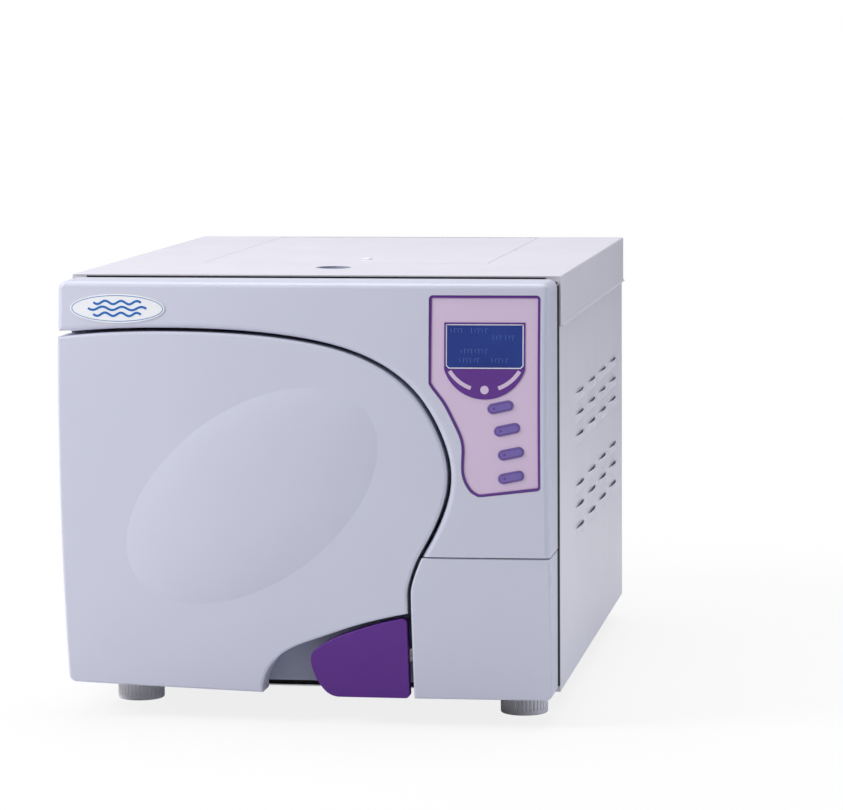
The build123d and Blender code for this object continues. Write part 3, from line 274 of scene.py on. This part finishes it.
MATERIALS = {slot: make(slot) for slot, make in SLOTS.items()}


def dress_cad_nodes():
    """Gives every CAD node the material of its slot."""
    for part in frame["record"]["subparts"]:
        mesh = frame["nodes"][part["node"]].data
        mesh.materials.clear()
        mesh.materials.append(MATERIALS[part["material_slot"]])


# ---------------------------------------------------------------- details laid on the frame


def middle(node):
    low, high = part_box(node)
    return (low + high) / 2


def surface_of(node):
    """Search tree of a CAD node, to lay details on it."""
    return BVHTree.FromObject(frame["nodes"][node], bpy.context.evaluated_depsgraph_get())


def on_front(tree, x, z, lift):
    """Point in front of the given surface, met by a ray from the front."""
    place = tree.ray_cast(Vector((x, -1.0, z)), Vector((0, 1, 0)))[0]
    if place is None:
        raise ValueError(f"nothing of the node lies behind x {x:.4f}, z {z:.4f}")
    return Vector((x, place.y - lift, z))


def add_piece(name, verts, faces, slot, body):
    """Own mesh object that travels with a body."""
    mesh = bpy.data.meshes.new(name)
    mesh.from_pydata([tuple(v) for v in verts], [], faces)
    mesh.update()
    piece = bpy.data.objects.new(name, mesh)
    bpy.context.scene.collection.objects.link(piece)
    mesh.materials.append(MATERIALS[slot])
    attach(piece, body)
    return piece


def closed_slab(front, back):
    """Vertices and faces of a thin closed plate between two matching rings of points."""
    count = len(front)
    faces = [list(range(count)), list(range(2 * count - 1, count - 1, -1))]
    for i in range(count):
        j = (i + 1) % count
        faces.append([i, count + i, count + j, j])
    return front + back, faces


def patch(name, ring, tree, slot, body, lift, thick=0.3 * MM):
    """Thin plate with a given (x, z) outline that follows the surface behind it."""
    front = [on_front(tree, x, z, lift) for x, z in ring]
    back = [p + Vector((0, thick, 0)) for p in front]
    verts, faces = closed_slab(front, back)
    return add_piece(name, verts, faces, slot, body)


def ribbon(path, width, closed):
    """Left and right edges of a band along an (x, z) path."""
    left, right = [], []
    count = len(path)
    for i, (x, z) in enumerate(path):
        before = path[i - 1] if closed or i else path[0]
        after = path[(i + 1) % count] if closed or i < count - 1 else path[-1]
        dx, dz = after[0] - before[0], after[1] - before[1]
        size = math.hypot(dx, dz) or 1.0
        nx, nz = -dz / size * width / 2, dx / size * width / 2
        left.append((x + nx, z + nz))
        right.append((x - nx, z - nz))
    return left, right


def band(name, paths, width, tree, slot, body, lift, thick=0.25 * MM, closed=False):
    """Thin raised line, or several, that follow the surface behind them."""
    verts, faces = [], []
    for path in paths:
        left, right = ribbon(path, width, closed)
        first, count = len(verts), len(path)
        for (lx, lz), (rx, rz) in zip(left, right):
            a, b = on_front(tree, lx, lz, lift), on_front(tree, rx, rz, lift)
            verts.extend([a, b, b + Vector((0, thick, 0)), a + Vector((0, thick, 0))])
        for i in range(count if closed else count - 1):
            here, after = first + 4 * i, first + 4 * ((i + 1) % count)
            for k in range(4):
                m = (k + 1) % 4
                faces.append([here + k, here + m, after + m, after + k])
        if not closed:
            end = first + 4 * (count - 1)
            faces.append([first, first + 3, first + 2, first + 1])
            faces.append([end, end + 1, end + 2, end + 3])
    return add_piece(name, verts, faces, slot, body)


def sampled(corners, step=2.5 * MM):
    """Closed path through corners with extra points along each side."""
    points = []
    for i, (x, z) in enumerate(corners):
        next_x, next_z = corners[(i + 1) % len(corners)]
        dx, dz = next_x - x, next_z - z
        count = max(1, round(math.hypot(dx, dz) / step))
        points.extend((x + dx * k / count, z + dz * k / count) for k in range(count))
    return points


def ellipse(x, z, a, b, count):
    """Closed path round an upright ellipse with half axes a and b."""
    angles = [2 * math.pi * i / count for i in range(count)]
    return [(x + a * math.cos(t), z + b * math.sin(t)) for t in angles]


def stadium(x, z, half_length, radius, tilt, steps=14):
    """Path round a slot shape: two half circles joined by straight sides."""
    reach = half_length - radius
    points = []
    for side in (1, -1):
        for i in range(steps + 1):
            t = math.pi * (i / steps - 0.5)
            u = side * (reach + radius * math.cos(t))
            v = side * radius * math.sin(t)
            points.append((x + u * math.cos(tilt) - v * math.sin(tilt),
                           z + u * math.sin(tilt) + v * math.cos(tilt)))
    return points


KEYS = ("start_key", "up_key", "down_key", "stop_key")
KEY_TILT = math.radians(12)
KEY_HALF_LENGTH = 11.35 * MM
KEY_RADIUS = 4.35 * MM
KEY_RIM_INSET = 1.1 * MM
KEY_MARK_RADIUS = 1.0 * MM
KEY_MARK_LEFT, KEY_MARK_DOWN = 5.5 * MM, 1.1 * MM
KEY_LIFT, KEY_THICK = 0.08 * MM, 0.15 * MM


def add_key_details():
    """Dark rim round the cap of each key, and a small dark mark at its left."""
    for key in KEYS:
        x, z = middle(key).x, middle(key).z
        cap = surface_of(key)
        rim = stadium(x, z, KEY_HALF_LENGTH - KEY_RIM_INSET, KEY_RADIUS - KEY_RIM_INSET, KEY_TILT)
        band(key + "_rim", [rim], 0.6 * MM, cap, "panel_violet", key, KEY_LIFT, KEY_THICK, closed=True)
        mark = ellipse(x - KEY_MARK_LEFT, z - KEY_MARK_DOWN, KEY_MARK_RADIUS, KEY_MARK_RADIUS, 20)
        patch(key + "_mark", mark, cap, "panel_violet", key, KEY_LIFT, KEY_THICK)


GLASS_INSET = 1.9 * MM
GLASS_DROP = 39.7 * MM
GLASS_CORNER = 2.2 * MM
ARC_RADIUS = 36.1 * MM
ARC_RISE = 16.6 * MM
ARC_SPANS = ((212, 250.5), (289.5, 328))
ARC_STEPS = 16
DOT_RADIUS = 3.7 * MM
DOT_DROP = 18.9 * MM


def add_display_details():
    """White line round the glass, plain bars as readout, and the arcs and dot below."""
    low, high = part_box("display_surround")
    left, right, top = low.x + GLASS_INSET, high.x - GLASS_INSET, high.z - GLASS_INSET
    bottom = high.z - GLASS_DROP
    glass = surface_of("lcd_module")
    border = sampled([(left + GLASS_CORNER, bottom), (right - GLASS_CORNER, bottom),
                      (right, bottom + GLASS_CORNER), (right, top), (left, top),
                      (left, bottom + GLASS_CORNER)])
    band("lcd_border", [border], 0.9 * MM, glass, "badge_white", "cabinet",
         0.1 * MM, 0.15 * MM, closed=True)
    add_readout(left, top, glass)
    centre_x = (low.x + high.x) / 2
    centre_z = bottom + ARC_RISE
    arcs = []
    for start, end in ARC_SPANS:
        angles = [math.radians(start + (end - start) * i / ARC_STEPS) for i in range(ARC_STEPS + 1)]
        arcs.append([(centre_x + ARC_RADIUS * math.cos(a), centre_z + ARC_RADIUS * math.sin(a))
                     for a in angles])
    shield = surface_of("display_surround")
    band("display_arcs", arcs, 3.4 * MM, shield, "panel_lilac", "cabinet", 0.15 * MM, 0.2 * MM)
    dot = ellipse(centre_x, bottom - DOT_DROP, DOT_RADIUS, DOT_RADIUS, 28)
    patch("display_dot", dot, shield, "panel_lilac", "cabinet", 0.3 * MM)


# Groups of strokes on the glass: start from the left in mm, number of strokes, drop from the top in mm.
READOUT_GROUPS = ((4.0, 4, 1.0), (22.0, 5, 1.0), (41.0, 3, 7.2), (52.0, 3, 7.2),
                  (13.0, 8, 19.0), (12.0, 6, 27.0), (40.0, 5, 27.0))
STROKE_PITCH = 3.1
STROKE_DROP = 4.0
STROKE_HALF = 1.5 * MM


def add_readout(left, top, glass):
    """Faint strokes on the glass that look like a readout but spell nothing."""
    paths = []
    for start, count, drop in READOUT_GROUPS:
        for i in range(count):
            x, z = left + (start + STROKE_PITCH * i) * MM, top - (drop + STROKE_DROP) * MM
            half = STROKE_HALF * (1.5 if (i + count) % 2 else 1.0)
            paths.append([(x, z - half), (x, z + half)])
            if i % 3:
                paths.append([(x + 0.9 * MM, z + STROKE_HALF), (x + 1.9 * MM, z + STROKE_HALF)])
    band("lcd_readout", paths, 0.55 * MM, glass, "readout_blue", "cabinet", 0.08 * MM, 0.1 * MM)


BADGE_RIM_INSET = 1.6 * MM
WAVE_PITCH = 5.2 * MM
WAVE_HEIGHT = 1.5 * MM
WAVE_STEPS = 36


def add_badge_details():
    """Thin rim line and three plain steam waves on the badge."""
    low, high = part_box("badge")
    x, z = (low.x + high.x) / 2, (low.z + high.z) / 2
    a, b = (high.x - low.x) / 2, (high.z - low.z) / 2
    face = surface_of("badge")
    rim = ellipse(x, z, a - BADGE_RIM_INSET, b - BADGE_RIM_INSET, 72)
    band("badge_rim", [rim], 0.5 * MM, face, "badge_blue", "cabinet", 0.12 * MM, closed=True)
    waves = []
    for row in (-1, 0, 1):
        span = (27 - 5 * abs(row)) * MM
        along = [-1 + 2 * i / WAVE_STEPS for i in range(WAVE_STEPS + 1)]
        waves.append([(x + span * u, z + row * WAVE_PITCH + WAVE_HEIGHT * math.sin(3 * math.pi * u))
                      for u in along])
    band("badge_waves", waves, 2.0 * MM, face, "badge_blue", "cabinet", 0.15 * MM)


def lathe(name, profile, centre, axis, slot, body, count=48):
    """Turned piece: (radius, height) profile round an axis through a point."""
    turn = Vector(axis).to_track_quat("Z", "Y").to_matrix()
    verts, faces = [], []
    for i in range(count):
        t = 2 * math.pi * i / count
        for r, h in profile:
            verts.append(Vector(centre) + turn @ Vector((r * math.cos(t), r * math.sin(t), h)))
    rows = len(profile)
    for i in range(count):
        j = (i + 1) % count
        for k in range(rows - 1):
            faces.append([i * rows + k, j * rows + k, j * rows + k + 1, i * rows + k + 1])
    faces.append([i * rows for i in range(count - 1, -1, -1)])
    faces.append([i * rows + rows - 1 for i in range(count)])
    piece = add_piece(name, verts, faces, slot, body)
    for polygon in piece.data.polygons:
        polygon.use_smooth = len(polygon.vertices) == 4
    return piece


HATCH_LOCK_X = 12 * MM
HATCH_LOCK_BACK = 55 * MM


def add_hatch_lock():
    """Small painted lock button near the front edge of the tank hatch."""
    low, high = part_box("tank_hatch")
    place = Vector((HATCH_LOCK_X, low.y + HATCH_LOCK_BACK, high.z))
    profile = [(5.2 * MM, 0.05 * MM), (5.2 * MM, 0.7 * MM), (4.4 * MM, 1.3 * MM), (1.4 * MM, 1.3 * MM),
               (1.2 * MM, 0.6 * MM)]
    lathe("hatch_lock", profile, place, (0, 0, 1), "casing_paint", "tank_hatch")


def add_strip(name, start, end, slot, flip):
    """Straight strip on the cabinet between two matching end outlines."""
    ends = [end, start] if flip else [start, end]
    verts, faces = closed_slab(*ends)
    add_piece(name, verts, faces, slot, "cabinet")


HEM_FLARE = 2.0 * MM
HEM_HEIGHT = 2.0 * MM


def add_skirt_hems():
    """Flared hem along the lower edge of the top cover's two side skirts."""
    low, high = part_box("top_cover")
    for side, edge, out in (("left", low.x - 0.02 * MM, -1), ("right", high.x + 0.02 * MM, 1)):
        section = [(edge, low.z + HEM_HEIGHT), (edge, low.z + 0.1 * MM),
                   (edge + out * HEM_FLARE, low.z + 0.4 * MM)]
        front, back = ([Vector((x, y, z)) for x, z in section]
                       for y in (low.y + 8 * MM, high.y - 2 * MM))
        add_strip("skirt_hem_" + side, front, back, "casing_paint", side == "right")


# Painted shade: a black strip stands for the dark shadow gap beside the plastic front.
GAP_STRIP_REACH = 1.5 * MM
GAP_STRIP_HALF_WIDTH = 4.5 * MM
GAP_STRIP_BACK = 5 * MM
GAP_STRIP_STEPS = 8


def add_shadow_gap_strips():
    """Half-round black strip in the black rubber material down each side, between the plastic front and
    the steel casing: painted shade standing for the shadow gap between them.
    """
    low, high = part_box("front_bezel")
    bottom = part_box("front_frame")[0].z
    for side, edge, out in (("left", low.x + 0.2 * MM, -1), ("right", high.x - 0.2 * MM, 1)):
        section = []
        for i in range(GAP_STRIP_STEPS + 1):
            t = math.pi * i / GAP_STRIP_STEPS
            section.append((edge + out * GAP_STRIP_REACH * math.sin(t),
                            high.y + GAP_STRIP_BACK - GAP_STRIP_HALF_WIDTH * math.cos(t)))
        foot, head = ([Vector((x, y, z)) for x, y in section]
                      for z in (bottom + 2 * MM, high.z - 6 * MM))
        add_strip("shadow_gap_strip_" + side, foot, head, "black_rubber", side == "left")


PLATE_X, PLATE_HEIGHT = -0.07, 0.17
PLATE_HALF_X, PLATE_HALF_Z = 0.032, 0.02
PLATE_CORNER = 3 * MM
PLATE_THICK = 0.6 * MM
RIVET_INSET = 4 * MM


def add_rating_plate():
    """Blank riveted plate on the back."""
    low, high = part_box("rear_panel")
    y, z = high.y, low.z + PLATE_HEIGHT
    ring = []
    for sx, sz, start in ((1, 1, 0), (-1, 1, 90), (-1, -1, 180), (1, -1, 270)):
        for i in range(7):
            t = math.radians(start + 15 * i)
            ring.append((PLATE_X + sx * (PLATE_HALF_X - PLATE_CORNER) + PLATE_CORNER * math.cos(t),
                         z + sz * (PLATE_HALF_Z - PLATE_CORNER) + PLATE_CORNER * math.sin(t)))
    inner, outer = ([Vector((px, py, pz)) for px, pz in ring]
                    for py in (y + 0.02 * MM, y + PLATE_THICK))
    verts, faces = closed_slab(inner, outer)
    add_piece("rating_plate", verts, faces, "tray_aluminium", "cabinet")
    profile = [(1.7 * MM, 0.02 * MM), (1.6 * MM, 0.5 * MM), (1.0 * MM, 0.9 * MM), (0.2 * MM, 1.0 * MM)]
    for side, sx in (("left", -1), ("right", 1)):
        rivet = Vector((PLATE_X + sx * (PLATE_HALF_X - RIVET_INSET), y + PLATE_THICK, z))
        lathe("rating_plate_rivet_" + side, profile, rivet, (0, 1, 0), "pin_steel", "cabinet", 20)


def extra_materials():
    """Materials of marks that the record has no slot of their own for."""
    MATERIALS["readout_blue"] = moulded_plastic("readout_blue", srgb(74, 104, 176), 0.3, 0.02)
    MATERIALS["badge_blue"] = moulded_plastic("badge_blue", srgb(26, 104, 186), 0.3, 0.03,
                                              700.0, 0.00001, 0.5)


# ---------------------------------------------------------------- floor, light and camera


FLOOR_HALF = 10.0
FADE_START, FADE_END = 0.35, 1.1
FADE_SHARE = 0.84


def add_floor():
    """Pale floor, lifted to white for the camera so that only a soft contact shadow shows.

    The white share grows with the distance from the machine, and is full from FADE_END on.
    """
    low = cad_box[0].z
    recipe = Recipe("floor_paper", 0.9, specular=0.1)
    white = srgb(238, 238, 240)
    recipe.colour(recipe.ramp(recipe.noise(3.0, 4.0), shade(white, 0.985), white))
    recipe.bump(recipe.noise(500.0, 2.0), 0.00005, 0.2)
    glow = recipe.node("ShaderNodeEmission", Strength=1.0)
    seen = recipe.node("ShaderNodeLightPath")
    away = recipe.node("ShaderNodeVectorMath", operation="LENGTH")
    fade = recipe.node("ShaderNodeMapRange", interpolation_type="SMOOTHSTEP")
    fade.inputs["From Min"].default_value = FADE_START
    fade.inputs["From Max"].default_value = FADE_END
    fade.inputs["To Min"].default_value = FADE_SHARE
    share = recipe.node("ShaderNodeMath", operation="MULTIPLY")
    mix = recipe.node("ShaderNodeMixShader")
    recipe.link(recipe.place, away.inputs[0])
    recipe.link(away.outputs["Value"], fade.inputs["Value"])
    recipe.link(seen.outputs["Is Camera Ray"], share.inputs[0])
    recipe.link(fade.outputs["Result"], share.inputs[1])
    recipe.link(share.outputs["Value"], mix.inputs["Fac"])
    recipe.link(recipe.shader.outputs["BSDF"], mix.inputs[1])
    recipe.link(glow.outputs["Emission"], mix.inputs[2])
    recipe.link(mix.outputs["Shader"], recipe.tree.nodes["Material Output"].inputs["Surface"])
    mesh = bpy.data.meshes.new("floor")
    corners = [(x * FLOOR_HALF, y * FLOOR_HALF, low) for x, y in ((-1, -1), (1, -1), (1, 1), (-1, 1))]
    mesh.from_pydata(corners, [], [[0, 1, 2, 3]])
    mesh.materials.append(recipe.material)
    floor = bpy.data.objects.new("floor", mesh)
    bpy.context.scene.collection.objects.link(floor)


SURROUND_STRENGTH = 0.27


def add_light(name, place, size, power, target=(0, 0, 0.2), colour=(1, 1, 1)):
    """Rectangular area light aimed at a target; the power is in watts."""
    data = bpy.data.lights.new(name, "AREA")
    data.shape = "RECTANGLE"
    data.size, data.size_y = size
    data.energy = power
    data.color = colour
    lamp = bpy.data.objects.new(name, data)
    bpy.context.scene.collection.objects.link(lamp)
    lamp.location = place
    lamp.rotation_mode = "QUATERNION"
    lamp.rotation_quaternion = (Vector(place) - Vector(target)).to_track_quat("Z", "Y")


def add_lights():
    """Soft boxes overhead and at the upper left, a faint cool one low at the right, and a surround.

    The surround lights the machine weakly and evenly, while the camera sees it as white.
    """
    add_light("overhead", (0.1, 0.2, 2.2), (2.2, 1.8), 35)
    add_light("upper_left", (-2.0, -1.3, 1.8), (1.2, 1.2), 56)
    add_light("right_low", (2.3, -0.5, 0.1), (1.2, 0.3), 11, (0, 0, 0.05), (0.76, 0.84, 1.0))
    world = bpy.data.worlds.new("studio")
    bpy.context.scene.world = world
    world.use_nodes = True
    tree = world.node_tree
    background = tree.nodes["Background"]
    background.inputs["Color"].default_value = (1.0, 1.0, 1.0, 1.0)
    seen = tree.nodes.new("ShaderNodeLightPath")
    strength = tree.nodes.new("ShaderNodeMapRange")
    strength.inputs["To Min"].default_value = SURROUND_STRENGTH
    strength.inputs["To Max"].default_value = 1.0
    tree.links.new(seen.outputs["Is Camera Ray"], strength.inputs["Value"])
    tree.links.new(strength.outputs["Result"], background.inputs["Strength"])


CAMERA_PLACE = (0.593, -3.4188, 0.630)
CAMERA_YAW, CAMERA_PITCH, CAMERA_ROLL = 8.89, 6.17, -0.39
CAMERA_LENS = 154.0


def add_camera():
    """Camera to the right of the front and a little above, with a long lens."""
    yaw, pitch, roll = (math.radians(a) for a in (CAMERA_YAW, CAMERA_PITCH, CAMERA_ROLL))
    ahead = Vector((-math.sin(yaw) * math.cos(pitch),
                    math.cos(yaw) * math.cos(pitch),
                    -math.sin(pitch)))
    level = Vector((math.cos(yaw), math.sin(yaw), 0))
    upright = level.cross(ahead)
    right = math.cos(roll) * level + math.sin(roll) * upright
    up = math.cos(roll) * upright - math.sin(roll) * level
    data = bpy.data.cameras.new("camera")
    data.sensor_width = 36.0
    data.lens = CAMERA_LENS
    data.clip_end = 100.0
    camera = bpy.data.objects.new("camera", data)
    bpy.context.scene.collection.objects.link(camera)
    turn = Matrix((right, up, -ahead)).transposed()
    camera.matrix_world = Matrix.Translation(CAMERA_PLACE) @ turn.to_4x4()
    bpy.context.scene.camera = camera


extra_materials()
dress_cad_nodes()
add_key_details()
add_display_details()
add_badge_details()
add_hatch_lock()
add_skirt_hems()
add_shadow_gap_strips()
add_rating_plate()
add_floor()
add_lights()
add_camera()
bpy.context.scene.view_settings.view_transform = "Standard"
